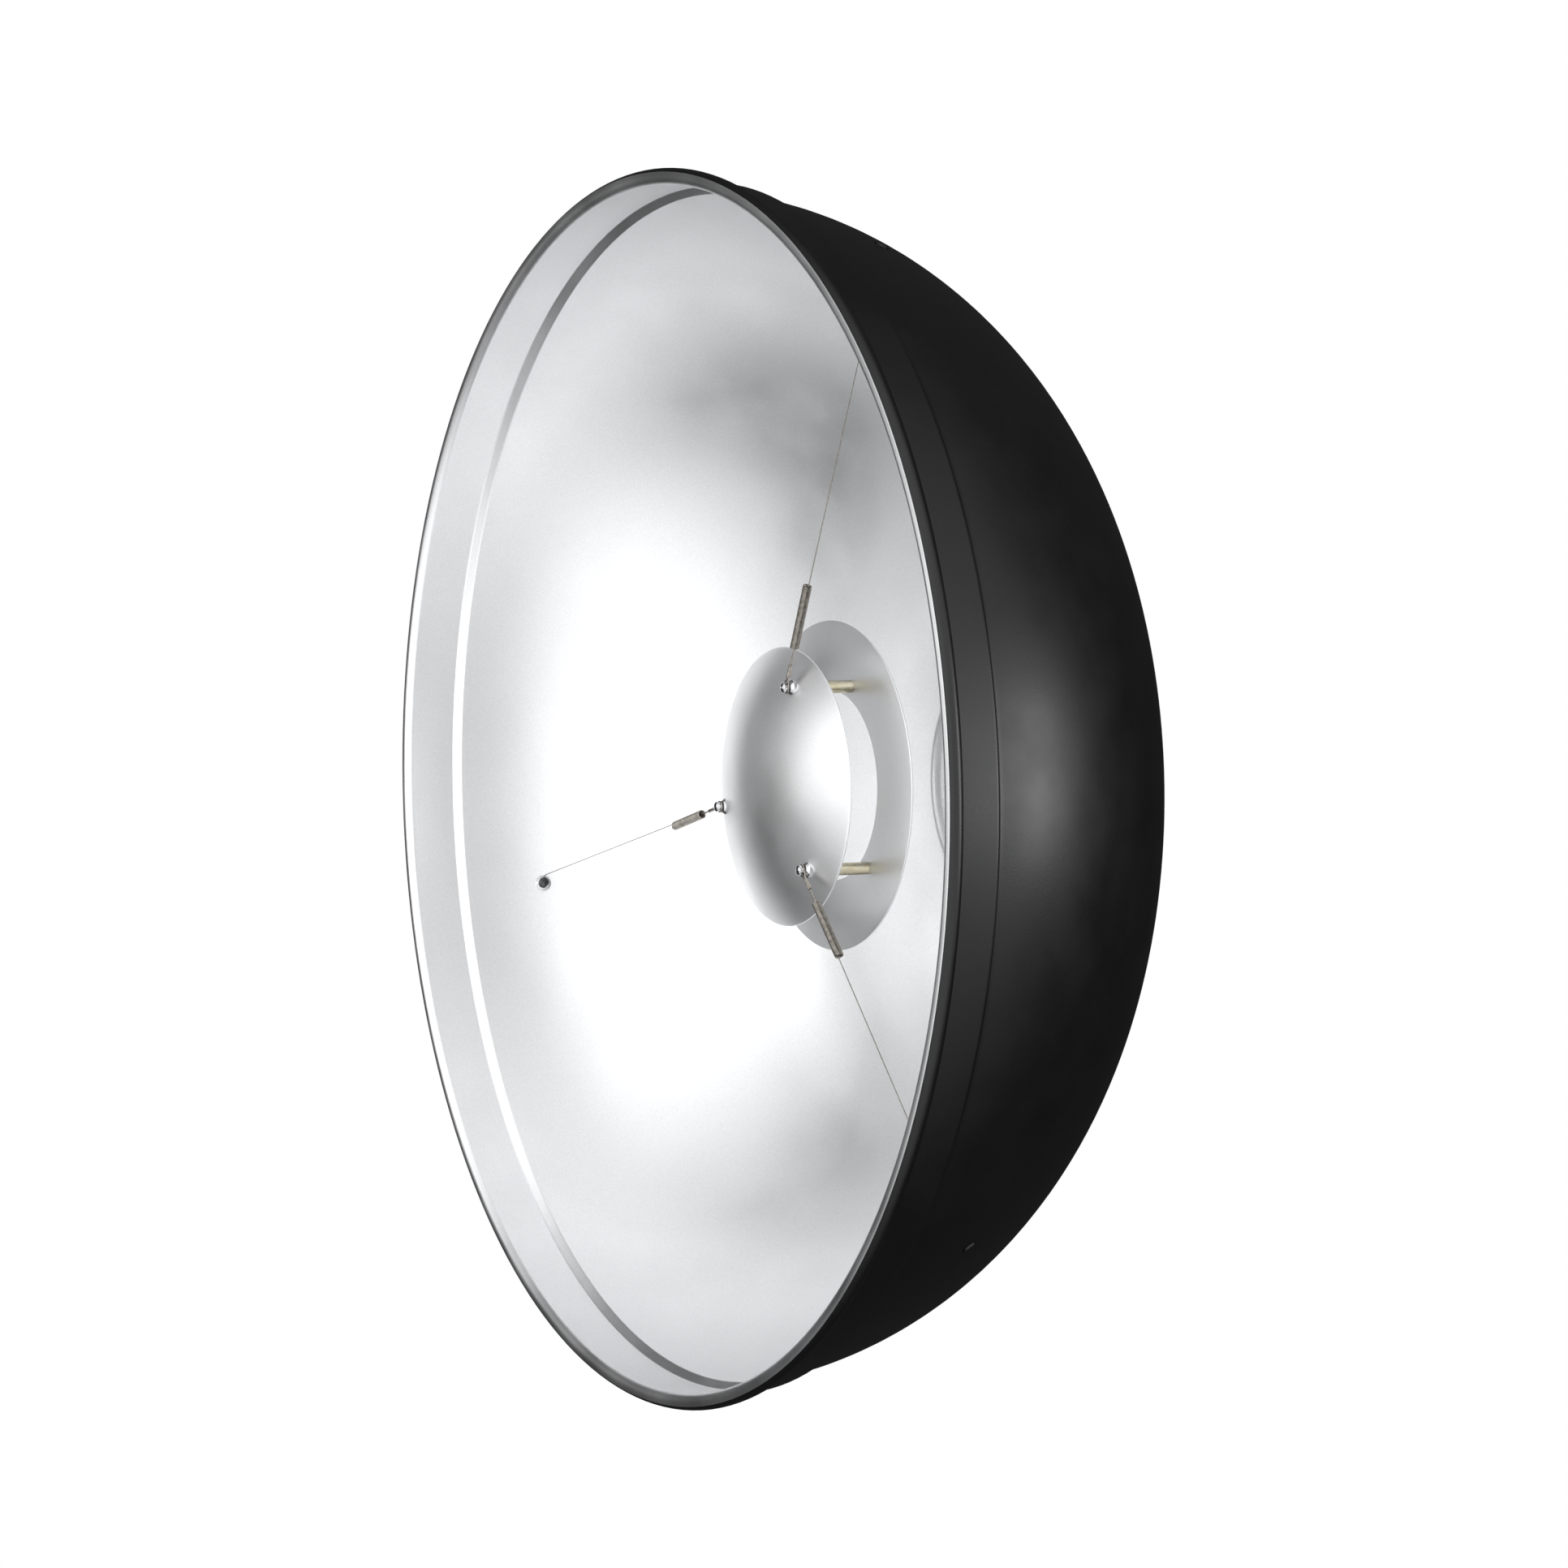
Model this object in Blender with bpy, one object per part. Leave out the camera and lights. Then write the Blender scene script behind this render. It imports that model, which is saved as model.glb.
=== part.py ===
"""Studio beauty dish: a spun aluminium reflector with a deflector floating on sprung wires.

Frame: metres, +Z up. The dish's axis is world Y: it opens towards -Y, and +Y points back at the
flash head. The origin is the centre of the mount ring's rear seat, where the dish meets the head.

Everything is built in the "dish frame": local Z is the dish's axis pointing back, and a depth is
measured from the plane through the centre of the rim's bead. A station is one of the three
suspension directions: its local X points outwards, its local Y is tangential and its Z points back.
"""

from math import acos, asin, cos, pi, radians, sin

import bmesh
import bpy
from mathutils import Matrix, Vector

MM = 0.001
GAP = 0.3 * MM
AXIS_TURN = -pi / 2

# Rim, band and bowl (radii and depths of the outer face, unless named inner)
RIM_R = 275 * MM
BEAD_R = 3.8 * MM
SHEET = 1.2 * MM
BAND_INNER_END = (267.9 * MM, 21.4 * MM)
BAND_OUTER_END = (269.1 * MM, 22.7 * MM)
BOWL_START = (265.2 * MM, 24 * MM)
BOWL_START_ANGLE = radians(5.8)
SIDE_ARC = (170 * MM, radians(45.7), 9)
SHOULDER_ARC = (137.5 * MM, radians(27.5), 5)
BACK_ARC = (260 * MM, radians(11), 2)
BOWL_SEGMENTS = 48
BOWL_PHASE = radians(1.5)
BEAD_STEPS = 9

# Throat and mount ring
THROAT_R = 50 * MM
THROAT_BEND_R = 7 * MM
COLLAR_LENGTH = 9.5 * MM
FLANGE_THICK = 3.5 * MM
FLANGE_R = 68 * MM
SPIGOT_INNER_R = 51.6 * MM
SPIGOT_OUTER_R = 56 * MM
SPIGOT_LENGTH = 12 * MM
LUG_R = 60.5 * MM
LUG_THICK = 3.5 * MM
LUG_ARC = radians(34)
LUG_ANGLES = (60, 180, 300)
MOUNT_SCREW_CIRCLE_R = 62.5 * MM
MOUNT_SCREW_ANGLES = (0, 120, 240)
MOUNT_HEAD_R = 3.4 * MM
MOUNT_HEAD_THICK = 1.9 * MM
MOUNT_SCREW_SHORT = 0.5 * MM  # how far its end stops inside the flange
LUG_ROOT = 2 * MM  # how far a lug runs into the spigot's wall

# Deflector
DOME_R = 63 * MM
DOME_RISE = 14.5 * MM
DOME_EDGE_DEPTH = 64.5 * MM
DOME_SHEET = 1 * MM
RING_R = 74.8 * MM
RING_HOLE_R = 42.5 * MM
RING_DEPTH = 88.6 * MM
RING_SHEET = 1 * MM
STANDOFF_R = 2.8 * MM
STANDOFF_CIRCLE_R = 48.7 * MM
STANDOFF_SPARE = 2 * MM  # cut away where the tube meets the dome's curve
DOME_SCREW_REACH = 12 * MM
RING_SCREW_REACH = 8 * MM

# Suspension
STATION_ANGLES = (68, 193.05, 313)
ANCHOR_DEPTH = 61.5 * MM
EYE_LIFT = 2.3 * MM
NECK_R = 1.1 * MM
CLEAR_R = 1.4 * MM
WASHER_R = 3.8 * MM
WASHER_TOP_R = 2.6 * MM
WASHER_THICK = 1.2 * MM
WASHER_EDGE = 0.4 * MM
HEAD_R = 2.4 * MM
HEAD_THICK = 1.7 * MM
NUT_R = 3.4 * MM
NUT_THICK = 1.3 * MM
NUT_STAND = 1 * MM  # from the sheet's back to the nut, to clear the bowl's curve
SPRING_START = 18.6 * MM
SPRING_LENGTH = 31 * MM
SPRING_R = 2.1 * MM
SPRING_WIRE = 0.6 * MM
WIRE_R = 0.3 * MM
LINK_R = 0.45 * MM
LINK_EYE_R = 2.4 * MM
CRIMP_R = 0.95 * MM
CRIMP_BORE_R = 0.65 * MM
CRIMP_SPAN = (5 * MM, 11 * MM)
EYE_PLAY = 0.5 * MM
COIL_PLAY = 0.15 * MM
COIL_OVERLAP = 3 * MM  # how far a wire or link reaches into its spring
EYE_STEPS = 12
WIRE_EYE_TURN = (radians(110), radians(-27.5))  # where the eye starts, and one step round it
LINK_EYE_TURN = (radians(40), radians(27))
# The wire's way from its straight run down to its eye, in mm from the anchor's seat
WIRE_LEAD = ((0.9, 3.4, 4.2), (0.9, 3.2, 3.2), (0.7, 2.8, 2.55), (0.3, 2.35, 2.3))
LINK_LEAD = (3.6, 5, 12)

SMALL_SEGMENTS = 12
DRILL_SEGMENTS = 16
DRILL_REACH = 30 * MM
PLATE_SEGMENTS = 36


# ---------------------------------------------------------------- materials

def make_material(name, color, roughness, metallic):
    material = bpy.data.materials.new(name)
    material.use_nodes = True
    shader = material.node_tree.nodes["Principled BSDF"]
    shader.inputs["Base Color"].default_value = (*color, 1)
    shader.inputs["Roughness"].default_value = roughness
    shader.inputs["Metallic"].default_value = metallic
    return material


def make_materials():
    return {
        "satin_silver": make_material("satin_silver", (0.80, 0.81, 0.82), 0.38, 1.0),
        "cast_aluminium": make_material("cast_aluminium", (0.62, 0.63, 0.64), 0.42, 1.0),
        "chrome": make_material("chrome", (0.85, 0.85, 0.86), 0.12, 1.0),
        "nickelled_brass": make_material("nickelled_brass", (0.66, 0.60, 0.44), 0.25, 1.0),
        "spring_steel": make_material("spring_steel", (0.46, 0.43, 0.39), 0.35, 1.0),
        "satin_black": make_material("satin_black", (0.012, 0.012, 0.013), 0.45, 0.0),
    }


# ---------------------------------------------------------------- building blocks

def add_empty(name, parent=None, matrix=Matrix()):
    empty = bpy.data.objects.new(name, None)
    empty.empty_display_size = 0.02
    bpy.context.scene.collection.objects.link(empty)
    empty.parent = parent
    empty.matrix_local = matrix
    return empty


def add_object(name, data, material, parent, matrix=Matrix()):
    piece = bpy.data.objects.new(name, data)
    bpy.context.scene.collection.objects.link(piece)
    if not data.materials:
        data.materials.append(material)
    piece.parent = parent
    piece.matrix_local = matrix
    return piece


def mesh_from(bm, name):
    bmesh.ops.remove_doubles(bm, verts=bm.verts, dist=1e-6)
    bmesh.ops.recalc_face_normals(bm, faces=bm.faces)
    mesh = bpy.data.meshes.new(name)
    bm.to_mesh(mesh)
    bm.free()
    mesh.shade_smooth()
    mesh.set_sharp_from_angle(angle=radians(32))
    return mesh


def turned_mesh(name, profile, segments, closed=True, phase=0.0, sweep=2 * pi):
    """Spins a profile of (radius, z) points about Z. A part turn gets its two end faces."""
    bm = bmesh.new()
    start = Matrix.Rotation(phase, 4, "Z")
    verts = [bm.verts.new(start @ Vector((r, 0, z))) for r, z in profile]
    edges = [bm.edges.new(pair) for pair in zip(verts, verts[1:])]
    if closed:
        edges.append(bm.edges.new((verts[-1], verts[0])))
    whole = abs(sweep - 2 * pi) < 1e-6
    first = [] if whole else [bm.faces.new(verts)]
    bmesh.ops.spin(
        bm, geom=verts + edges + first, cent=(0, 0, 0), axis=(0, 0, 1),
        angle=sweep, steps=segments, use_duplicate=False)
    return mesh_from(bm, name)


def add_cutter(name, places, radius, parent):
    """One wire-display cutter holding a straight drill along each place's local Z."""
    profile = [(0, -DRILL_REACH), (radius, -DRILL_REACH), (radius, DRILL_REACH), (0, DRILL_REACH)]
    bm = bmesh.new()
    for place in places:
        drill = turned_mesh("drill", profile, DRILL_SEGMENTS, closed=False)
        drill.transform(place)
        bm.from_mesh(drill)
        bpy.data.meshes.remove(drill)
    return hidden_cutter(name, mesh_from(bm, name), parent)


def hidden_cutter(name, mesh, parent):
    cutter = bpy.data.objects.new(name, mesh)
    bpy.context.scene.collection.objects.link(cutter)
    cutter.parent = parent
    cutter.hide_render = True
    cutter.display_type = "WIRE"
    return cutter


def add_boolean(piece, cutter, operation="DIFFERENCE"):
    modifier = piece.modifiers.new(cutter.name, "BOOLEAN")
    modifier.operation = operation
    modifier.solver = "EXACT"
    modifier.object = cutter


def bent_wire(name, points, radius, material, parent):
    """A round wire along the given points, with closed ends."""
    curve = bpy.data.curves.new(name, "CURVE")
    curve.dimensions = "3D"
    curve.bevel_depth = radius
    curve.bevel_resolution = 1
    curve.use_fill_caps = True
    spline = curve.splines.new("POLY")
    spline.points.add(len(points) - 1)
    for target, point in zip(spline.points, points):
        target.co = (*point, 1)
    return add_object(name, curve, material, parent)


def arc_points(center, radius, start, end, steps):
    """Points (r, z) on a circle in a profile; angles run from +r towards +z."""
    angles = [start + (end - start) * k / steps for k in range(steps + 1)]
    return [(center[0] + radius * cos(a), center[1] + radius * sin(a)) for a in angles]


# ---------------------------------------------------------------- shape of the dish

def bowl_profile(inset):
    """The bowl's side, shoulder and back arcs, tangent to each other, inset from the outer face."""
    r, z = BOWL_START
    angle = BOWL_START_ANGLE
    points = []
    for radius, sweep, steps in (SIDE_ARC, SHOULDER_ARC, BACK_ARC):
        center = (r - radius * cos(angle), z - radius * sin(angle))
        points += arc_points(center, radius - inset, angle, angle + sweep, steps)[bool(points):]
        angle += sweep
        r = center[0] + radius * cos(angle)
        z = center[1] + radius * sin(angle)
    return points


BACK_DEPTH = bowl_profile(0)[-1][1]
SEAT_DEPTH = BACK_DEPTH + GAP + FLANGE_THICK


def at(depth):
    """The dish-frame Z of a depth behind the bead's centre plane."""
    return depth - SEAT_DEPTH


def shell_profile():
    bead_center = (RIM_R - BEAD_R, 0.0)
    band_outer_angle = acos((BAND_OUTER_END[0] + SHEET - bead_center[0]) / BEAD_R)
    bead = arc_points(bead_center, BEAD_R, band_outer_angle, -pi, BEAD_STEPS)
    bend_center = (THROAT_R + THROAT_BEND_R, BACK_DEPTH - SHEET + THROAT_BEND_R)
    bend_inner = arc_points(bend_center, THROAT_BEND_R, -pi / 2, -pi, 4)
    bend_outer = arc_points(bend_center, THROAT_BEND_R - SHEET, -pi, -pi / 2, 4)
    collar_end = BACK_DEPTH - SHEET + COLLAR_LENGTH
    points = bead
    points += [BAND_INNER_END]
    points += bowl_profile(SHEET)
    points += bend_inner
    points += [(THROAT_R, collar_end), (THROAT_R + SHEET, collar_end)]
    points += bend_outer
    points += bowl_profile(0)[::-1]
    points += [BAND_OUTER_END]
    return [(r, at(depth)) for r, depth in points]


def make_dish_shell(materials, axis):
    mesh = turned_mesh("dish_shell", shell_profile(), BOWL_SEGMENTS, phase=BOWL_PHASE)
    shell = add_object("dish_shell", mesh, materials["satin_silver"], axis)
    places = [station_matrix(angle) @ anchor_matrix() for angle in STATION_ANGLES]
    add_boolean(shell, add_cutter("anchor_drills", places, CLEAR_R, axis))
    places = [mount_screw_matrix(angle) for angle in MOUNT_SCREW_ANGLES]
    add_boolean(shell, add_cutter("back_drills", places, CLEAR_R + GAP, axis))


# ---------------------------------------------------------------- mount ring and its screws

def mount_screw_matrix(angle):
    """Sits in the bowl's inner back face at a mount screw, with local Z pointing forwards."""
    turn = Matrix.Rotation(-radians(angle), 4, "Z")
    place = Matrix.Translation((MOUNT_SCREW_CIRCLE_R, 0, at(BACK_DEPTH - SHEET)))
    return turn @ place @ Matrix.Rotation(pi, 4, "X")


def make_mount_ring(materials, axis):
    cove_r = THROAT_BEND_R - SHEET - GAP
    cove_center = (THROAT_R + THROAT_BEND_R, cove_r - FLANGE_THICK)
    bore_angle = acos((cove_center[0] - SPIGOT_INNER_R) / cove_r)
    profile = arc_points(cove_center, cove_r, bore_angle - pi, -pi / 2, 4)
    profile += [
        (FLANGE_R, -FLANGE_THICK),
        (FLANGE_R, -GAP),
        (FLANGE_R - GAP, 0),
        (SPIGOT_OUTER_R, 0),
        (SPIGOT_OUTER_R, SPIGOT_LENGTH),
        (SPIGOT_INNER_R, SPIGOT_LENGTH),
    ]
    mesh = turned_mesh("mount_ring", profile, BOWL_SEGMENTS)
    ring = add_object("mount_ring", mesh, materials["cast_aluminium"], axis)
    lug_root_r = SPIGOT_OUTER_R - LUG_ROOT
    lug_profile = [
        (lug_root_r, SPIGOT_LENGTH - LUG_THICK),
        (LUG_R, SPIGOT_LENGTH - LUG_THICK),
        (LUG_R, SPIGOT_LENGTH - GAP),
        (lug_root_r, SPIGOT_LENGTH - GAP),
    ]
    for number, angle in enumerate(LUG_ANGLES, start=1):
        phase = -radians(angle) - LUG_ARC / 2
        lug = turned_mesh("lug", lug_profile, 4, phase=phase, sweep=LUG_ARC)
        add_boolean(ring, hidden_cutter(f"lug_{number}", lug, axis), "UNION")
    places = [mount_screw_matrix(angle) for angle in MOUNT_SCREW_ANGLES]
    add_boolean(ring, add_cutter("flange_drills", places, CLEAR_R + GAP, axis))


def screw_mesh(name, reach, head_r=HEAD_R, head_thick=HEAD_THICK):
    """A pan-head screw: the head's underside is at z = 0 and the shank reaches down to -reach."""
    profile = [
        (0, -reach),
        (NECK_R * 0.8, -reach),
        (NECK_R, -reach + GAP),
        (NECK_R, 0),
        (head_r, 0),
        (head_r, head_thick * 0.4),
        (head_r * 0.8, head_thick * 0.8),
        (head_r * 0.45, head_thick),
        (0, head_thick),
    ]
    return turned_mesh(name, profile, SMALL_SEGMENTS, closed=False)


def make_mount_screws(materials, axis):
    reach = GAP + SHEET + GAP + FLANGE_THICK - MOUNT_SCREW_SHORT
    mesh = screw_mesh("mount_screw", reach, MOUNT_HEAD_R, MOUNT_HEAD_THICK)
    for number, angle in enumerate(MOUNT_SCREW_ANGLES, start=1):
        place = mount_screw_matrix(angle) @ Matrix.Translation((0, 0, GAP))
        add_object(f"mount_screw_{number}", mesh, materials["chrome"], axis, place)


# ---------------------------------------------------------------- stations and anchors

def station_matrix(angle):
    """Turns local X to point outwards at this angle, counted from world +X up towards +Z."""
    return Matrix.Rotation(-radians(angle), 4, "Z")


def anchor_tilt():
    """The slope of the bowl's wall at the anchors, from the dish's axis."""
    return asin(sin(BOWL_START_ANGLE) + (ANCHOR_DEPTH - BOWL_START[1]) / SIDE_ARC[0])


def anchor_matrix():
    """On the bowl's faceted inner face at an anchor, with local Z pointing into the bowl."""
    tilt = anchor_tilt()
    outer_r = BOWL_START[0] + SIDE_ARC[0] * (cos(tilt) - cos(BOWL_START_ANGLE))
    facet_sag = outer_r * (1 - cos(pi / BOWL_SEGMENTS))
    facet_sag += SIDE_ARC[0] * (1 - cos(SIDE_ARC[1] / SIDE_ARC[2] / 2))
    inwards = Vector((-cos(tilt), 0, -sin(tilt)))
    origin = Vector((outer_r, 0, at(ANCHOR_DEPTH))) + inwards * (SHEET + facet_sag)
    turn = Vector((0, 0, 1)).rotation_difference(inwards).to_matrix().to_4x4()
    return Matrix.Translation(origin) @ turn


def make_anchors(materials, stations):
    wall = SHEET + NUT_STAND
    nut_top = wall + GAP + NUT_THICK
    washer_profile = [
        (CLEAR_R, 0),
        (WASHER_R, 0),
        (WASHER_R, WASHER_EDGE),
        (WASHER_TOP_R, WASHER_THICK),
        (CLEAR_R, WASHER_THICK),
    ]
    nut_profile = [
        (CLEAR_R, 0),
        (NUT_R, 0),
        (NUT_R, NUT_THICK * 0.5),
        (NUT_R * 0.8, NUT_THICK),
        (CLEAR_R, NUT_THICK),
    ]
    head_lift = 2 * EYE_LIFT - WASHER_THICK - GAP
    screw = screw_mesh("anchor_screw", head_lift + nut_top)
    washer = turned_mesh("anchor_washer", washer_profile, SMALL_SEGMENTS)
    nut = turned_mesh("anchor_nut", nut_profile, SMALL_SEGMENTS)
    behind = Matrix.Translation((0, 0, -wall - GAP)) @ Matrix.Rotation(pi, 4, "X")
    for number, station in enumerate(stations, start=1):
        seat = anchor_matrix()
        washer_place = seat @ Matrix.Translation((0, 0, GAP))
        screw_place = seat @ Matrix.Translation((0, 0, head_lift))
        add_object(f"anchor_washer_{number}", washer, materials["chrome"], station, washer_place)
        add_object(f"anchor_screw_{number}", screw, materials["chrome"], station, screw_place)
        add_object(f"anchor_nut_{number}", nut, materials["satin_black"], station, seat @ behind)


# ---------------------------------------------------------------- deflector

DOME_SPHERE_R = (DOME_R ** 2 + DOME_RISE ** 2) / (2 * DOME_RISE)
DOME_CENTER_DEPTH = DOME_EDGE_DEPTH - DOME_RISE + DOME_SPHERE_R


def dome_arc(radius, edge_r, steps):
    """Points from the axis out to edge_r on a sphere about the dome's centre, in dome depth."""
    top = asin(edge_r / radius)
    center = DOME_CENTER_DEPTH - DOME_EDGE_DEPTH
    angles = [top * k / steps for k in range(steps + 1)]
    return [(radius * sin(a), center - radius * cos(a)) for a in angles]


def dome_depth_at(r, radius=DOME_SPHERE_R):
    """The depth of the dome's face at a distance r from the axis."""
    return DOME_CENTER_DEPTH - radius * cos(asin(r / radius))


def circle_places(radius):
    return [station_matrix(angle) @ Matrix.Translation((radius, 0, 0)) for angle in STATION_ANGLES]


def make_dome(materials, deflector):
    front = dome_arc(DOME_SPHERE_R, DOME_R, 6)
    back = dome_arc(DOME_SPHERE_R - DOME_SHEET, DOME_R - DOME_SHEET * 0.4, 6)
    mesh = turned_mesh("deflector_dome", front + back[::-1], PLATE_SEGMENTS, closed=False)
    dome = add_object("deflector_dome", mesh, materials["satin_silver"], deflector)
    drills = add_cutter("dome_drills", circle_places(STANDOFF_CIRCLE_R), CLEAR_R, deflector)
    add_boolean(dome, drills)


def make_ring(materials, deflector):
    front = RING_DEPTH - DOME_EDGE_DEPTH
    back = front + RING_SHEET
    profile = [(RING_HOLE_R, front), (RING_R, front), (RING_R, back), (RING_HOLE_R, back)]
    mesh = turned_mesh("deflector_ring", profile, PLATE_SEGMENTS)
    ring = add_object("deflector_ring", mesh, materials["satin_silver"], deflector)
    drills = add_cutter("ring_drills", circle_places(STANDOFF_CIRCLE_R), CLEAR_R, deflector)
    add_boolean(ring, drills)


def make_standoffs(materials, deflector):
    """Tubes from the dome to the ring, with their front ends cut to the dome's curve."""
    front = dome_depth_at(STANDOFF_CIRCLE_R) - DOME_EDGE_DEPTH - STANDOFF_SPARE
    back = RING_DEPTH - DOME_EDGE_DEPTH - GAP
    profile = [(CLEAR_R, front), (STANDOFF_R, front), (STANDOFF_R, back), (CLEAR_R, back)]
    mesh = turned_mesh("standoff", profile, SMALL_SEGMENTS)
    under = dome_arc(DOME_SPHERE_R - DOME_SHEET - GAP, DOME_R - DOME_SHEET, 6)
    block = under + [(DOME_R, under[-1][1]), (DOME_R, -DOME_RISE * 2), (0, -DOME_RISE * 2)]
    cutter_mesh = turned_mesh("dome_underside", block, PLATE_SEGMENTS, closed=False)
    cutter = hidden_cutter("dome_underside", cutter_mesh, deflector)
    for number, place in enumerate(circle_places(STANDOFF_CIRCLE_R), start=1):
        name = f"standoff_{number}"
        standoff = add_object(name, mesh, materials["nickelled_brass"], deflector, place)
        add_boolean(standoff, cutter)


def eye_depth():
    """The depth of the wire eyes' centre plane at the deflector."""
    edge_top = dome_depth_at(STANDOFF_CIRCLE_R - WASHER_R) - WASHER_EDGE
    return edge_top - EYE_LIFT + WASHER_THICK


def make_dome_hardware(materials, deflector):
    """Washers with their undersides cut to the dome's curve, and the screws that hold the eyes."""
    eye = eye_depth() - DOME_EDGE_DEPTH
    top = eye + EYE_LIFT - WASHER_THICK
    below = top + 5 * WASHER_THICK
    profile = [
        (CLEAR_R, top),
        (WASHER_TOP_R, top),
        (WASHER_R, top + WASHER_THICK),
        (WASHER_R, below),
        (CLEAR_R, below),
    ]
    washer_mesh = turned_mesh("dome_washer", profile, SMALL_SEGMENTS)
    over = dome_arc(DOME_SPHERE_R + GAP, DOME_R, 6)
    block = over + [(DOME_R, DOME_RISE), (0, DOME_RISE)]
    cutter_mesh = turned_mesh("dome_face", block, PLATE_SEGMENTS, closed=False)
    cutter = hidden_cutter("dome_face", cutter_mesh, deflector)
    head_underside = eye - (EYE_LIFT - WASHER_THICK - GAP)
    screw = screw_mesh("dome_screw", DOME_SCREW_REACH)
    forwards = Matrix.Rotation(pi, 4, "X")
    for number, place in enumerate(circle_places(STANDOFF_CIRCLE_R), start=1):
        name = f"dome_washer_{number}"
        washer = add_object(name, washer_mesh, materials["chrome"], deflector, place)
        add_boolean(washer, cutter)
        screw_place = place @ Matrix.Translation((0, 0, head_underside)) @ forwards
        add_object(f"dome_screw_{number}", screw, materials["chrome"], deflector, screw_place)


def make_ring_screws(materials, deflector):
    back = RING_DEPTH - DOME_EDGE_DEPTH + RING_SHEET + GAP
    screw = screw_mesh("ring_screw", RING_SCREW_REACH)
    for number, place in enumerate(circle_places(STANDOFF_CIRCLE_R), start=1):
        screw_place = place @ Matrix.Translation((0, 0, back))
        add_object(f"ring_screw_{number}", screw, materials["chrome"], deflector, screw_place)


# ---------------------------------------------------------------- suspension

def eye_center():
    """The centre of a wire's eye on its anchor, in the station frame: the wire swings about it."""
    return anchor_matrix() @ Vector((0, 0, EYE_LIFT))


def link_eye_center():
    return Vector((STANDOFF_CIRCLE_R, 0, at(eye_depth())))


def run_matrix():
    """At the deflector's eye, with local X along the run towards the anchor and Z pointing back."""
    start = link_eye_center()
    along = (eye_center() - start).normalized()
    across = Vector((0, 1, 0))
    columns = (along, across, along.cross(across))
    turn = Matrix([list(column) for column in columns]).transposed().to_4x4()
    return Matrix.Translation(start) @ turn


def anchor_wire_points():
    """From inside the spring's outer end to the anchor, round its neck and back to a cut end."""
    run = run_matrix()
    spring_end = SPRING_START + SPRING_LENGTH
    hold = SPRING_R - SPRING_WIRE - WIRE_R - COIL_PLAY
    seat = anchor_matrix()
    eye_r = NECK_R + WIRE_R + EYE_PLAY
    start, step = WIRE_EYE_TURN
    turns = [start + step * k for k in range(EYE_STEPS)]
    points = [run @ Vector((x, hold, 0)) for x in (spring_end - COIL_OVERLAP, spring_end + MM)]
    points += [seat @ (Vector(point) * MM) for point in WIRE_LEAD]
    points += [seat @ Vector((eye_r * cos(a), eye_r * sin(a), EYE_LIFT)) for a in turns]
    return points


def link_points():
    """The eye round the dome screw's neck, then the straight shank into the spring."""
    run = run_matrix()
    start, step = LINK_EYE_TURN
    turns = [start + step * k for k in range(EYE_STEPS)]
    points = [link_eye_center() + LINK_EYE_R * Vector((cos(a), sin(a), 0)) for a in turns]
    points += [run @ Vector((x * MM, 0, 0)) for x in LINK_LEAD]
    points += [run @ Vector((SPRING_START + COIL_OVERLAP, 0, 0))]
    return points


def make_suspension(materials, number, station):
    pivot_place = Matrix.Translation(eye_center())
    pivot = add_empty(f"suspension_pivot_{number}", station, pivot_place)
    to_pivot = pivot_place.inverted()
    steel = materials["spring_steel"]
    wire_points = [to_pivot @ point for point in anchor_wire_points()]
    bent_wire(f"wire_{number}", wire_points, WIRE_R, steel, pivot)
    bent_wire(f"link_{number}", [to_pivot @ point for point in link_points()], LINK_R, steel, pivot)
    along_run = to_pivot @ run_matrix() @ Matrix.Rotation(pi / 2, 4, "Y")
    spring_inner_r = SPRING_R - SPRING_WIRE
    spring_profile = [
        (spring_inner_r, SPRING_START),
        (SPRING_R, SPRING_START),
        (SPRING_R, SPRING_START + SPRING_LENGTH),
        (spring_inner_r, SPRING_START + SPRING_LENGTH),
    ]
    crimp_start, crimp_end = CRIMP_SPAN
    crimp_profile = [
        (CRIMP_BORE_R, crimp_start),
        (CRIMP_R, crimp_start),
        (CRIMP_R, crimp_end),
        (CRIMP_BORE_R, crimp_end),
    ]
    for name, profile in (("spring", spring_profile), ("crimp", crimp_profile)):
        mesh = turned_mesh(name, profile, SMALL_SEGMENTS)
        add_object(f"{name}_{number}", mesh, steel, pivot, along_run)


# ---------------------------------------------------------------- assembly

def main():
    for stale in list(bpy.data.objects):
        bpy.data.objects.remove(stale, do_unlink=True)
    materials = make_materials()
    axis = add_empty("dish_axis", matrix=Matrix.Rotation(AXIS_TURN, 4, "X"))
    stations = [
        add_empty(f"station_{number}", axis, station_matrix(angle))
        for number, angle in enumerate(STATION_ANGLES, start=1)
    ]
    deflector_place = Matrix.Translation((0, 0, at(DOME_EDGE_DEPTH)))
    deflector = add_empty("deflector_slide", axis, deflector_place)
    make_dish_shell(materials, axis)
    make_mount_ring(materials, axis)
    make_mount_screws(materials, axis)
    make_anchors(materials, stations)
    make_dome(materials, deflector)
    make_ring(materials, deflector)
    make_standoffs(materials, deflector)
    make_dome_hardware(materials, deflector)
    make_ring_screws(materials, deflector)
    for number, station in enumerate(stations, start=1):
        make_suspension(materials, number, station)


main()
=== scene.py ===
"""Looks for the beauty dish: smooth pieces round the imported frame, finishes, camera and light."""

from math import acos, asin, cos, pi, radians, sin, tan

import bmesh
import bpy
from mathutils import Matrix, Vector


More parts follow.
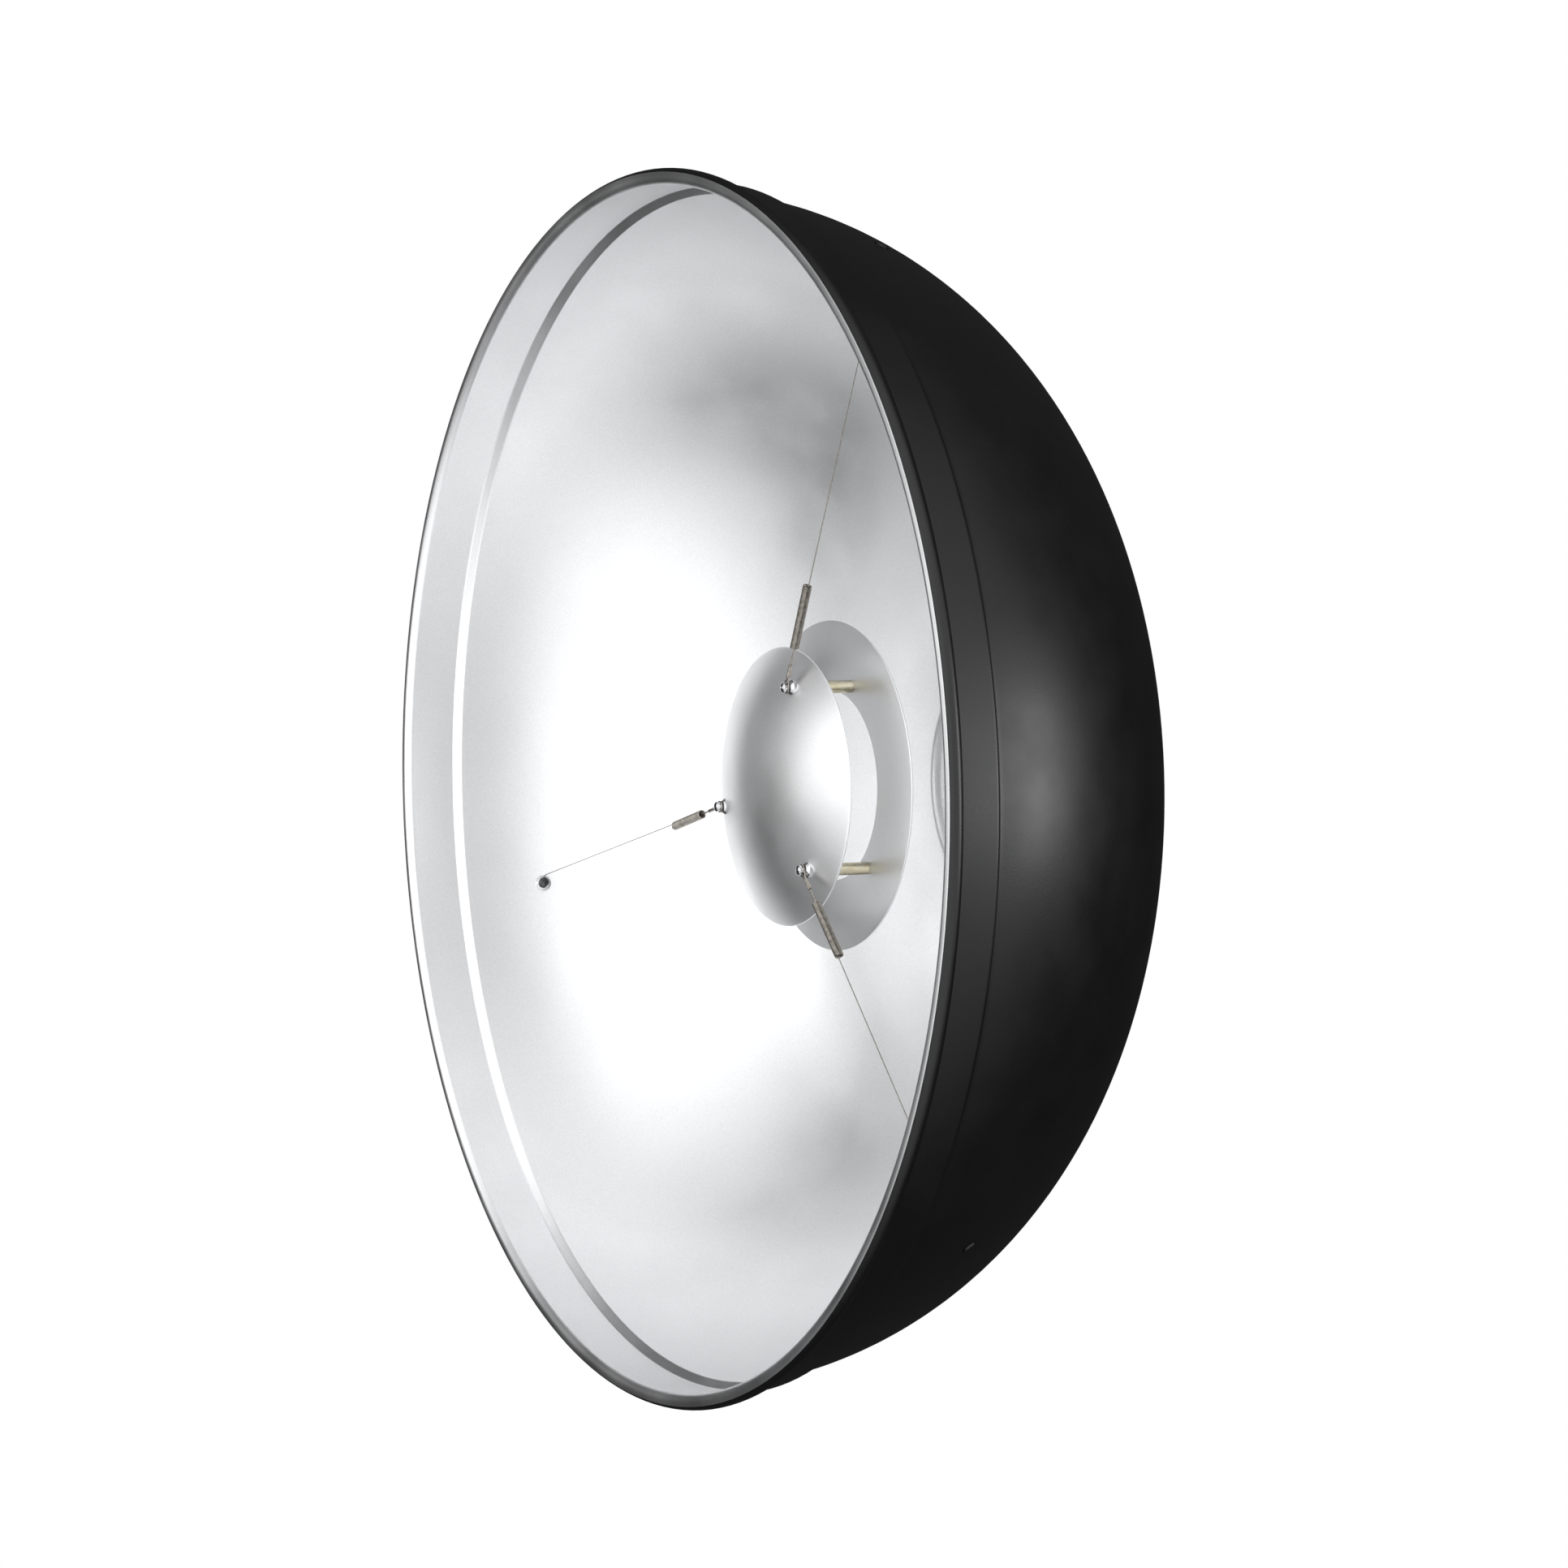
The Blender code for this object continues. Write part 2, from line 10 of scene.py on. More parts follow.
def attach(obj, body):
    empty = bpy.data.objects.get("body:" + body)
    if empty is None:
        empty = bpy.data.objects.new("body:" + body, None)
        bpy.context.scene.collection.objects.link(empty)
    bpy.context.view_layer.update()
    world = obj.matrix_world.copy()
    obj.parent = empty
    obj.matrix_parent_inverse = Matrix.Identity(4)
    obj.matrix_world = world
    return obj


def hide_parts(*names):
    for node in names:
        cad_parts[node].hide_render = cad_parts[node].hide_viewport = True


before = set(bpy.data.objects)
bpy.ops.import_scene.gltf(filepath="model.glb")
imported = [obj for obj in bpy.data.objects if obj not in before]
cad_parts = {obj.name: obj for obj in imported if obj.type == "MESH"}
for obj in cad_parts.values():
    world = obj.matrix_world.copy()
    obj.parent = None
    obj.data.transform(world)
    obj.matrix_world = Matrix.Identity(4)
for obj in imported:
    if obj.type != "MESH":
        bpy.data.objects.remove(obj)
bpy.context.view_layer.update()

MM = 0.001

# ---------------------------------------------------------------- sizes shared with the CAD

RIM_R = 275 * MM
BEAD_R = 3.8 * MM
SHEET = 1.2 * MM
BAND_INNER_END = (267.9 * MM, 21.4 * MM)
BAND_OUTER_END = (269.1 * MM, 22.7 * MM)
BOWL_START = (265.2 * MM, 24 * MM)
BOWL_START_ANGLE = radians(5.8)
BOWL_ARCS = (
    (170 * MM, radians(45.7), 44),
    (137.5 * MM, radians(27.5), 24),
    (260 * MM, radians(11), 10),
)

THROAT_R = 50 * MM
THROAT_BEND_R = 7 * MM
COLLAR_LENGTH = 9.5 * MM
FLANGE_THICK = 3.5 * MM
FLANGE_R = 68 * MM
SPIGOT_INNER_R = 51.6 * MM
SPIGOT_OUTER_R = 56 * MM
SPIGOT_LENGTH = 12 * MM
LUG_R = 60.5 * MM
LUG_THICK = 3.5 * MM
LUG_ROOT = 2 * MM
LUG_ARC = radians(34)
LUG_ANGLES = (60, 180, 300)
MOUNT_CIRCLE_R = 62.5 * MM
MOUNT_ANGLES = (0, 120, 240)
MOUNT_HEAD = (3.4 * MM, 1.9 * MM)
MOUNT_SCREW_SHORT = 0.5 * MM

DOME_R = 63 * MM
DOME_RISE = 14.5 * MM
DOME_EDGE_DEPTH = 64.5 * MM
RING_R = 74.8 * MM
RING_HOLE_R = 42.5 * MM
RING_DEPTH = 88.6 * MM
PLATE = 1 * MM
STANDOFF_R = 2.8 * MM
STANDOFF_CIRCLE_R = 48.7 * MM
DOME_SCREW_REACH = 12 * MM
RING_SCREW_REACH = 8 * MM

STATIONS = (68, 193.05, 313)
ANCHOR_DEPTH = 61.5 * MM
EYE_LIFT = 2.3 * MM
NECK_R = 1.1 * MM
HOLE_R = 1.4 * MM
WASHER_R = 3.8 * MM
WASHER_TOP_R = 2.6 * MM
WASHER_THICK = 1.2 * MM
WASHER_EDGE = 0.4 * MM
HEAD = (2.4 * MM, 1.7 * MM)
NUT = (3.4 * MM, 1.1 * MM)
SPRING_START = 18.6 * MM
SPRING_LENGTH = 31 * MM
SPRING_R = 2.1 * MM
SPRING_WIRE = 0.6 * MM
WIRE_R = 0.3 * MM
LINK_R = 0.45 * MM
LINK_EYE_R = 2.4 * MM
CRIMP_R = 0.95 * MM
CRIMP_BORE_R = 0.65 * MM
CRIMP_SPAN = (5 * MM, 11 * MM)
SEAT_GAP = 0.3 * MM

# ---------------------------------------------------------------- sizes of the finer shapes

COAT = 0.12 * MM
COAT_PROUD = 0.02 * MM  # how far the coat stands proud of the bead
COAT_EDGE_ANGLE = radians(-57)
STEP_FILLET = 2.2 * MM
COLLAR_EDGE = (0.3 * MM, 0.4 * MM)
PLATE_FILLET = 0.42 * MM
EDGE_FILLET = 0.15 * MM
HEAD_SIDE = 0.4  # the straight side's share of a screw head's thickness
RECESS_TURN = radians(20)
MOUNT_HEAD_LIFT = 0.02 * MM
NUT_LIFT = 0.04 * MM
RING_HEAD_LIFT = 0.01 * MM
WIRE_PLAY = 0.15 * MM
WIRE_SHOWN_R = WIRE_R * 0.8
LINK_SHOWN_R = LINK_R * 0.85
SMOOTH = 192  # segments round the large turned pieces
SMALL = 40  # and round the small ones
SHARP_ANGLE = 32

# ---------------------------------------------------------------- the stage

MIDDLE = (0, -0.09, 0)
CAMERA_PLACE = (2.2367, -1.2765, 0.1201)
CAMERA_SIDE = (62.49, 2.70)  # the azimuth and elevation it looks from
CAMERA_LENS_MM = 128.86
FLOOR_R = 1.6
FLOOR_THICK = 0.02
FLOOR_Z = -0.62
FLOOR_FADE = (0.6, 1.15)  # where it starts and ends fading out


# ---------------------------------------------------------------- mesh helpers

def finish_mesh(bm, name, sharp=SHARP_ANGLE):
    bmesh.ops.remove_doubles(bm, verts=bm.verts, dist=1e-7)
    bmesh.ops.recalc_face_normals(bm, faces=bm.faces)
    mesh = bpy.data.meshes.new(name)
    bm.to_mesh(mesh)
    bm.free()
    mesh.shade_smooth()
    mesh.set_sharp_from_angle(angle=radians(sharp))
    return mesh


def turned_mesh(name, profile, segments=SMOOTH, closed=True, start=0.0, sweep=2 * pi):
    """Spins (radius, z) points about Z. A part turn gets its two end faces."""
    bm = bmesh.new()
    whole = abs(sweep - 2 * pi) < 1e-6
    count = segments if whole else segments + 1
    turns = [start + sweep * k / segments for k in range(count)]
    rings = []
    for r, z in profile:
        if r < 1e-7:
            rings.append([bm.verts.new((0, 0, z))])
        else:
            rings.append([bm.verts.new((r * cos(t), r * sin(t), z)) for t in turns])
    pairs = list(zip(rings, rings[1:]))
    if closed:
        pairs.append((rings[-1], rings[0]))
    for low, high in pairs:
        for k in range(segments):
            after = (k + 1) % count
            corners = [low[k % len(low)], low[after % len(low)]]
            corners += [high[after % len(high)], high[k % len(high)]]
            corners = list(dict.fromkeys(corners))
            if len(corners) > 2:
                bm.faces.new(corners)
    if not whole:
        bm.faces.new([ring[0] for ring in rings])
        bm.faces.new([ring[-1] for ring in rings])
    return finish_mesh(bm, name)


def rounded(points, closed=True):
    """Rounds each corner given as (r, z, fillet); a point given as (r, z) stays as it is."""
    steps = 4
    result = []
    count = len(points)
    for k, point in enumerate(points):
        here = Vector(point[:2])
        inside = closed or 0 < k < count - 1
        if len(point) < 3 or not inside:
            result.append(tuple(here))
            continue
        before = Vector(points[k - 1][:2]) - here
        after = Vector(points[(k + 1) % count][:2]) - here
        half = before.angle(after) / 2
        reach = min(point[2] / tan(half), 0.45 * before.length, 0.45 * after.length)
        before = before.normalized() * reach
        after = after.normalized() * reach
        for j in range(steps + 1):
            s = j / steps
            result.append(tuple(here + before * (1 - s) ** 2 + after * s ** 2))
    return result


def arc_points(center, radius, start, end, steps):
    angles = [start + (end - start) * k / steps for k in range(steps + 1)]
    return [(center[0] + radius * cos(a), center[1] + radius * sin(a)) for a in angles]


def softened(points):
    """Cuts the corners off a path three times over, keeping its ends."""
    points = [Vector(p) for p in points]
    for _ in range(3):
        cut = [points[0]]
        for a, b in zip(points, points[1:]):
            cut += [a.lerp(b, 0.25), a.lerp(b, 0.75)]
        points = cut + [points[-1]]
    return points


def tube_mesh(name, path, radius, sides):
    """A round wire along a path, with slightly domed ends."""
    bm = bmesh.new()
    tangents = []
    for k in range(len(path)):
        tangents.append((path[min(k + 1, len(path) - 1)] - path[max(k - 1, 0)]).normalized())
    normal = tangents[0].orthogonal().normalized()
    stations = []
    for k, (point, tangent) in enumerate(zip(path, tangents)):
        if k:
            normal = tangents[k - 1].rotation_difference(tangent) @ normal
        normal = (normal - tangent * normal.dot(tangent)).normalized()
        stations.append((point, tangent, normal, radius))
    point, tangent, normal, _ = stations[0]
    stations.insert(0, (point - tangent * radius * 0.3, tangent, normal, radius * 0.6))
    point, tangent, normal, _ = stations[-1]
    stations.append((point + tangent * radius * 0.3, tangent, normal, radius * 0.6))
    rings = []
    for point, tangent, normal, r in stations:
        side = tangent.cross(normal)
        ring = []
        for k in range(sides):
            a = 2 * pi * k / sides
            ring.append(bm.verts.new(point + (normal * cos(a) + side * sin(a)) * r))
        rings.append(ring)
    for low, high in zip(rings, rings[1:]):
        for k in range(sides):
            after = (k + 1) % sides
            bm.faces.new((low[k], low[after], high[after], high[k]))
    bm.faces.new(rings[0][::-1])
    bm.faces.new(rings[-1])
    return finish_mesh(bm, name, sharp=60)


def add_piece(name, mesh, place=Matrix()):
    piece = bpy.data.objects.new(name, mesh)
    bpy.context.scene.collection.objects.link(piece)
    piece.data.transform(place)
    return piece


def cut(mesh, cutters, operation="DIFFERENCE"):
    """The mesh after an exact boolean with each cutter mesh."""
    piece = add_piece("cut_work", mesh)
    helpers = []
    for cutter in cutters:
        helper = add_piece("cut_tool", cutter)
        modifier = piece.modifiers.new("cut", "BOOLEAN")
        modifier.operation = operation
        modifier.solver = "EXACT"
        modifier.object = helper
        helpers.append(helper)
    bpy.context.view_layer.update()
    evaluated = piece.evaluated_get(bpy.context.evaluated_depsgraph_get())
    result = bpy.data.meshes.new_from_object(evaluated)
    result.name = mesh.name + "_cut"
    for helper in helpers + [piece]:
        bpy.data.objects.remove(helper)
    result.shade_smooth()
    result.set_sharp_from_angle(angle=radians(SHARP_ANGLE))
    return result


# ---------------------------------------------------------------- where things are

def bowl_profile(inset):
    """The bowl's side, shoulder and back arcs, tangent to each other, inset from the outer face."""
    r, z = BOWL_START
    angle = BOWL_START_ANGLE
    points = []
    for radius, sweep, steps in BOWL_ARCS:
        center = (r - radius * cos(angle), z - radius * sin(angle))
        points += arc_points(center, radius - inset, angle, angle + sweep, steps)[bool(points):]
        angle += sweep
        r = center[0] + radius * cos(angle)
        z = center[1] + radius * sin(angle)
    return points


BACK_DEPTH = bowl_profile(0)[-1][1]
SEAT_DEPTH = BACK_DEPTH + SEAT_GAP + FLANGE_THICK
AXIS = Matrix.Rotation(-pi / 2, 4, "X")
DOME_SPHERE_R = (DOME_R ** 2 + DOME_RISE ** 2) / (2 * DOME_RISE)
DOME_CENTER_DEPTH = DOME_EDGE_DEPTH - DOME_RISE + DOME_SPHERE_R


def at(depth):
    """The place along the frame's axis of a depth behind the middle of the bead."""
    return depth - SEAT_DEPTH


def station_matrix(angle):
    """A suspension station: local X outwards at this angle, local Z back along the dish's axis."""
    return AXIS @ Matrix.Rotation(-radians(angle), 4, "Z")


def anchor_matrix():
    """In a station: on the sheet's inner face at an anchor, with local Z pointing into the bowl."""
    tilt = asin(sin(BOWL_START_ANGLE) + (ANCHOR_DEPTH - BOWL_START[1]) / BOWL_ARCS[0][0])
    outer_r = BOWL_START[0] + BOWL_ARCS[0][0] * (cos(tilt) - cos(BOWL_START_ANGLE))
    inwards = Vector((-cos(tilt), 0, -sin(tilt)))
    origin = Vector((outer_r, 0, at(ANCHOR_DEPTH))) + inwards * SHEET
    turn = Vector((0, 0, 1)).rotation_difference(inwards).to_matrix().to_4x4()
    return Matrix.Translation(origin) @ turn


def dome_depth_at(r):
    """The depth of the dome's front face at this radius."""
    return DOME_CENTER_DEPTH - DOME_SPHERE_R * cos(asin(r / DOME_SPHERE_R))


def eye_depth():
    """The depth of the wire eyes' centre plane at the deflector."""
    edge_top = dome_depth_at(STANDOFF_CIRCLE_R - WASHER_R) - WASHER_EDGE
    return edge_top - EYE_LIFT + WASHER_THICK


def eye_center():
    return anchor_matrix() @ Vector((0, 0, EYE_LIFT))


def link_eye_center():
    return Vector((STANDOFF_CIRCLE_R, 0, at(eye_depth())))


def run_matrix():
    """In a station: at the deflector's eye, with local X along the run towards the anchor."""
    start = link_eye_center()
    along = (eye_center() - start).normalized()
    across = Vector((0, 1, 0))
    columns = (along, across, along.cross(across))
    turn = Matrix([list(column) for column in columns]).transposed().to_4x4()
    return Matrix.Translation(start) @ turn


# ---------------------------------------------------------------- finishes

def add_node(tree, kind, **values):
    """A shader node; a value set on a named input, or linked to it when it is a socket."""
    node = tree.nodes.new(kind)
    for key, value in values.items():
        if hasattr(node, key):
            setattr(node, key, value)
            continue
        socket = node.inputs[key.replace("_", " ")]
        if isinstance(value, bpy.types.NodeSocket):
            tree.links.new(value, socket)
        else:
            socket.default_value = value
    return node


def coordinates(tree):
    return add_node(tree, "ShaderNodeTexCoord").outputs["Object"]


def noise(tree, vector, scale, detail=2.0):
    return add_node(tree, "ShaderNodeTexNoise", Vector=vector, Scale=scale, Detail=detail).outputs["Fac"]


def spread(tree, value, low, high, lowest=0.3, highest=0.7):
    """Maps a noise value onto a range."""
    node = add_node(tree, "ShaderNodeMapRange", Value=value)
    for name, number in (("From Min", lowest), ("From Max", highest), ("To Min", low), ("To Max", high)):
        node.inputs[name].default_value = number
    return node.outputs["Result"]


def turning_lines(tree, vector, scale):
    """Noise that changes with the distance from the dish's axis and along it, but not round it."""
    flat = add_node(tree, "ShaderNodeVectorMath", operation="MULTIPLY")
    tree.links.new(vector, flat.inputs[0])
    flat.inputs[1].default_value = (1, 0, 1)
    radius = add_node(tree, "ShaderNodeVectorMath", operation="LENGTH")
    tree.links.new(flat.outputs[0], radius.inputs[0])
    axis = add_node(tree, "ShaderNodeSeparateXYZ", Vector=vector)
    path = add_node(tree, "ShaderNodeMath", operation="SUBTRACT")
    tree.links.new(radius.outputs["Value"], path.inputs[0])
    tree.links.new(axis.outputs["Y"], path.inputs[1])
    lines = add_node(tree, "ShaderNodeTexNoise", noise_dimensions="1D", Scale=scale, Detail=3.0)
    tree.links.new(path.outputs[0], lines.inputs["W"])
    return lines.outputs["Fac"]


def bump(tree, height, strength, distance, under=None):
    node = add_node(tree, "ShaderNodeBump", Height=height, Strength=strength, Distance=distance)
    if under is not None:
        tree.links.new(under, node.inputs["Normal"])
    return node.outputs["Normal"]


def new_finish(name, color, metallic, **sockets):
    material = bpy.data.materials.new(name)
    material.use_nodes = True
    tree = material.node_tree
    shader = tree.nodes["Principled BSDF"]
    shader.inputs["Base Color"].default_value = (*color, 1)
    shader.inputs["Metallic"].default_value = metallic
    for key, value in sockets.items():
        shader.inputs[key.replace("_", " ")].default_value = value
    return material, tree, shader


def tint(tree, shader, value, dark, light):
    """Varies the base colour between two tones."""
    ramp = add_node(tree, "ShaderNodeValToRGB")
    ramp.color_ramp.elements[0].position = 0.3
    ramp.color_ramp.elements[0].color = (*dark, 1)
    ramp.color_ramp.elements[1].position = 0.7
    ramp.color_ramp.elements[1].color = (*light, 1)
    tree.links.new(value, ramp.inputs["Fac"])
    tree.links.new(ramp.outputs["Color"], shader.inputs["Base Color"])


def spun_silver(name, dark, light, roughness):
    """Finely etched spun aluminium: a fine sparkle over very faint rings from the spinning."""
    material, tree, shader = new_finish(name, light, 1.0)
    place = coordinates(tree)
    grain = noise(tree, place, 1500, 2.0)
    clouds = noise(tree, place, 26, 3.0)
    rings = turning_lines(tree, place, 900)
    tint(tree, shader, grain, dark, light)
    tree.links.new(spread(tree, clouds, *roughness), shader.inputs["Roughness"])
    normal = bump(tree, rings, 0.05, 0.05 * MM)
    tree.links.new(bump(tree, grain, 0.16, 0.06 * MM, normal), shader.inputs["Normal"])
    return material


def satin_black():
    """Fine powder coat with a low sheen."""
    material, tree, shader = new_finish("satin_black_finish", (0.003, 0.003, 0.0032), 0.0)
    place = coordinates(tree)
    grain = noise(tree, place, 1150, 3.0)
    clouds = noise(tree, place, 40, 3.0)
    tint(tree, shader, grain, (0.0008, 0.0008, 0.0009), (0.0025, 0.0025, 0.0027))
    shader.inputs["Specular IOR Level"].default_value = 0.4
    tree.links.new(spread(tree, clouds, 0.33, 0.4), shader.inputs["Roughness"])
    tree.links.new(bump(tree, grain, 0.3, 0.08 * MM), shader.inputs["Normal"])
    return material


def cast_aluminium():
    """Cast, then machined: close turning lines over a faint casting grain."""
    material, tree, shader = new_finish("cast_aluminium_finish", (0.62, 0.63, 0.64), 1.0)
    place = coordinates(tree)
    lines = turning_lines(tree, place, 2600)
    grain = noise(tree, place, 700, 3.0)
    tint(tree, shader, grain, (0.56, 0.57, 0.58), (0.68, 0.69, 0.70))
    tree.links.new(spread(tree, lines, 0.26, 0.42), shader.inputs["Roughness"])
    normal = bump(tree, lines, 0.3, 0.04 * MM)
    tree.links.new(bump(tree, grain, 0.1, 0.04 * MM, normal), shader.inputs["Normal"])
    return material


def chrome():
    """Bright plating with hairline marks from handling."""
    material, tree, shader = new_finish("chrome_finish", (0.56, 0.56, 0.57), 1.0)
    place = coordinates(tree)
    marks = noise(tree, place, 900, 4.0)
    tree.links.new(spread(tree, marks, 0.08, 0.2), shader.inputs["Roughness"])
    tree.links.new(bump(tree, marks, 0.12, 0.02 * MM), shader.inputs["Normal"])
    tint(tree, shader, marks, (0.5, 0.5, 0.51), (0.6, 0.6, 0.61))
    return material


def dark_steel():
    """Dark steel, varying at random from near black to dark grey."""
    material, tree, shader = new_finish("dark_steel_finish", (0.1, 0.1, 0.1), 1.0)
    place = coordinates(tree)
    mottle = noise(tree, place, 900, 4.0)
    tint(tree, shader, mottle, (0.03, 0.03, 0.03), (0.1, 0.1, 0.1))
    tree.links.new(spread(tree, mottle, 0.12, 0.25), shader.inputs["Roughness"])
    tree.links.new(bump(tree, mottle, 0.12, 0.02 * MM), shader.inputs["Normal"])
    return material


def nickelled_brass():
    """Turned brass tube under thin nickel, warmer where the plating is thin."""
    material, tree, shader = new_finish("nickelled_brass_finish", (0.54, 0.49, 0.37), 1.0)
    place = coordinates(tree)
    mottle = noise(tree, place, 260, 4.0)
    rings = turning_lines(tree, place, 2600)
    tint(tree, shader, mottle, (0.46, 0.41, 0.28), (0.6, 0.56, 0.44))
    tree.links.new(spread(tree, mottle, 0.2, 0.32), shader.inputs["Roughness"])
    tree.links.new(bump(tree, rings, 0.2, 0.02 * MM), shader.inputs["Normal"])
    return material


def spring_steel():
    """Drawn steel wire, slightly browned."""
    material, tree, shader = new_finish("spring_steel_finish", (0.32, 0.3, 0.27), 1.0)
    place = coordinates(tree)
    scale = noise(tree, place, 600, 4.0)
    tint(tree, shader, scale, (0.22, 0.2, 0.175), (0.42, 0.39, 0.355))
    tree.links.new(spread(tree, scale, 0.24, 0.42), shader.inputs["Roughness"])
    tree.links.new(bump(tree, scale, 0.15, 0.02 * MM), shader.inputs["Normal"])
    return material


def satin_silver():
    return spun_silver("satin_silver_finish", (0.74, 0.745, 0.75), (0.825, 0.828, 0.832), (0.33, 0.41))


def plate_silver():
    return spun_silver("plate_silver_finish", (0.9, 0.905, 0.91), (0.965, 0.967, 0.97), (0.38, 0.46))


FINISHES = {
    "satin_silver": satin_silver(),
    "plate_silver": plate_silver(),
    "satin_black": satin_black(),
    "cast_aluminium": cast_aluminium(),
    "chrome": chrome(),
    "dark_steel": dark_steel(),
    "nickelled_brass": nickelled_brass(),
    "spring_steel": spring_steel(),
}


def put(name, mesh, place, body, finish, *nodes):
    """Adds a piece from a copy of the mesh: it rides a body and stands for CAD nodes."""
    mesh = mesh.copy()
    mesh.name = name
    mesh.materials.clear()
    mesh.materials.append(FINISHES[finish])
    piece = add_piece(name, mesh, place)
    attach(piece, body)
    if nodes:
        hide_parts(*nodes)
    return piece


# ---------------------------------------------------------------- dish

def drill(place, radius):
    """A cylinder through the sheet along local Z, to cut a hole with."""
    reach = 30 * MM
    profile = [(0, -reach), (radius, -reach), (radius, reach), (0, reach)]
    mesh = turned_mesh("drill", profile, SMALL, closed=False)
    mesh.transform(place)
    return mesh


def mount_place(angle):
    """In the dish's frame: on the bowl's inner back face, with local Z pointing forwards."""
    turn = Matrix.Rotation(-radians(angle), 4, "Z")
    place = Matrix.Translation((MOUNT_CIRCLE_R, 0, at(BACK_DEPTH - SHEET)))
    return turn @ place @ Matrix.Rotation(pi, 4, "X")


def throat_bends():
    center = (THROAT_R + THROAT_BEND_R, BACK_DEPTH - SHEET + THROAT_BEND_R)
    inner = arc_points(center, THROAT_BEND_R, -pi / 2, -pi, 12)
    outer = arc_points(center, THROAT_BEND_R - SHEET, -pi, -pi / 2, 10)
    return inner, outer


def lowered(profile):
    return [(r, at(depth)) for r, depth in profile]


def outer_face(inset):
    """The outer face from the band over the step and the bowl, moved into the sheet."""
    bowl = bowl_profile(inset)
    band_end = (BAND_OUTER_END[0] - inset, BAND_OUTER_END[1] - inset)
    band = [(band_end[0], band_end[1] / 3), (*band_end, STEP_FILLET - inset)]
    return rounded(band + [(*bowl[0], STEP_FILLET + inset), bowl[1]], closed=False)[1:-1] + bowl[1:]


def inner_face():
    bowl = bowl_profile(SHEET)
    band = [(BAND_INNER_END[0], BAND_INNER_END[1] / 3), (*BAND_INNER_END, 1.4 * MM)]
    return rounded(band + [(*bowl[0], 1.2 * MM), bowl[1]], closed=False)[1:-1] + bowl[1:]


def make_dish():
    """The spun sheet, silver inside and over the front of its bead, and its black coat outside."""
    bead_center = (RIM_R - BEAD_R, 0.0)
    behind_bead = acos((BAND_OUTER_END[0] + SHEET - bead_center[0]) / BEAD_R)
    bend_inner, bend_outer = throat_bends()
    collar_end = BACK_DEPTH - SHEET + COLLAR_LENGTH
    sheet = arc_points(bead_center, BEAD_R, COAT_EDGE_ANGLE, -pi, 36)
    sheet += inner_face()
    sheet += bend_inner
    across, along = COLLAR_EDGE
    sheet += [(THROAT_R, collar_end - along), (THROAT_R + across, collar_end)]
    sheet += [(THROAT_R + SHEET - across, collar_end), (THROAT_R + SHEET, collar_end - along)]
    sheet += bend_outer
    under = COAT * 0.75
    sheet += outer_face(under)[::-1]
    sheet += arc_points(bead_center, BEAD_R - under, behind_bead + radians(5), COAT_EDGE_ANGLE, 30)
    outside = arc_points(bead_center, BEAD_R + COAT_PROUD, COAT_EDGE_ANGLE, behind_bead, 36)
    outside += outer_face(0)
    outside += [(FLANGE_R - 6 * MM, BACK_DEPTH), (THROAT_R + THROAT_BEND_R, BACK_DEPTH)]
    inside = [(THROAT_R + THROAT_BEND_R, BACK_DEPTH - COAT)]
    inside += outer_face(COAT)[::-1]
    inside += arc_points(bead_center, BEAD_R - COAT, behind_bead + radians(6), COAT_EDGE_ANGLE, 30)
    drills = [drill(mount_place(angle), HOLE_R) for angle in MOUNT_ANGLES]
    silver = cut(turned_mesh("spun_sheet", lowered(sheet)), drills)
    black = cut(turned_mesh("coat", lowered(outside + inside)), drills)
    put("spun_dish", silver, AXIS, "dish", "satin_silver", "dish_shell")
    put("dish_coat", black, AXIS, "dish", "satin_black", "dish_shell")


def make_mount():
    fillet = 0.5 * MM
    cove_r = THROAT_BEND_R - SHEET - SEAT_GAP
    cove_center = (THROAT_R + THROAT_BEND_R, cove_r - FLANGE_THICK)
    bore_angle = acos((cove_center[0] - SPIGOT_INNER_R) / cove_r)
    profile = arc_points(cove_center, cove_r, bore_angle - pi, -pi / 2, 12)
    profile += [
        (FLANGE_R, -FLANGE_THICK, 0.2 * MM),
        (FLANGE_R, 0, fillet),
        (SPIGOT_OUTER_R, 0, 0.3 * MM),
        (SPIGOT_OUTER_R, SPIGOT_LENGTH, fillet),
        (SPIGOT_INNER_R, SPIGOT_LENGTH, fillet),
    ]
    ring = turned_mesh("mount", rounded(profile))
    root = SPIGOT_OUTER_R - LUG_ROOT
    low = SPIGOT_LENGTH - LUG_THICK
    high = SPIGOT_LENGTH - SEAT_GAP
    lug_profile = rounded([(root, low), (LUG_R, low, fillet), (LUG_R, high, fillet), (root, high)])
    lugs = [
        turned_mesh("lug", lug_profile, 24, start=-radians(angle) - LUG_ARC / 2, sweep=LUG_ARC)
        for angle in LUG_ANGLES
    ]
    ring = cut(ring, lugs, "UNION")
    ring = cut(ring, [drill(mount_place(angle), HOLE_R + SEAT_GAP) for angle in MOUNT_ANGLES])
    put("bayonet_ring", ring, AXIS, "dish", "cast_aluminium", "mount_ring")


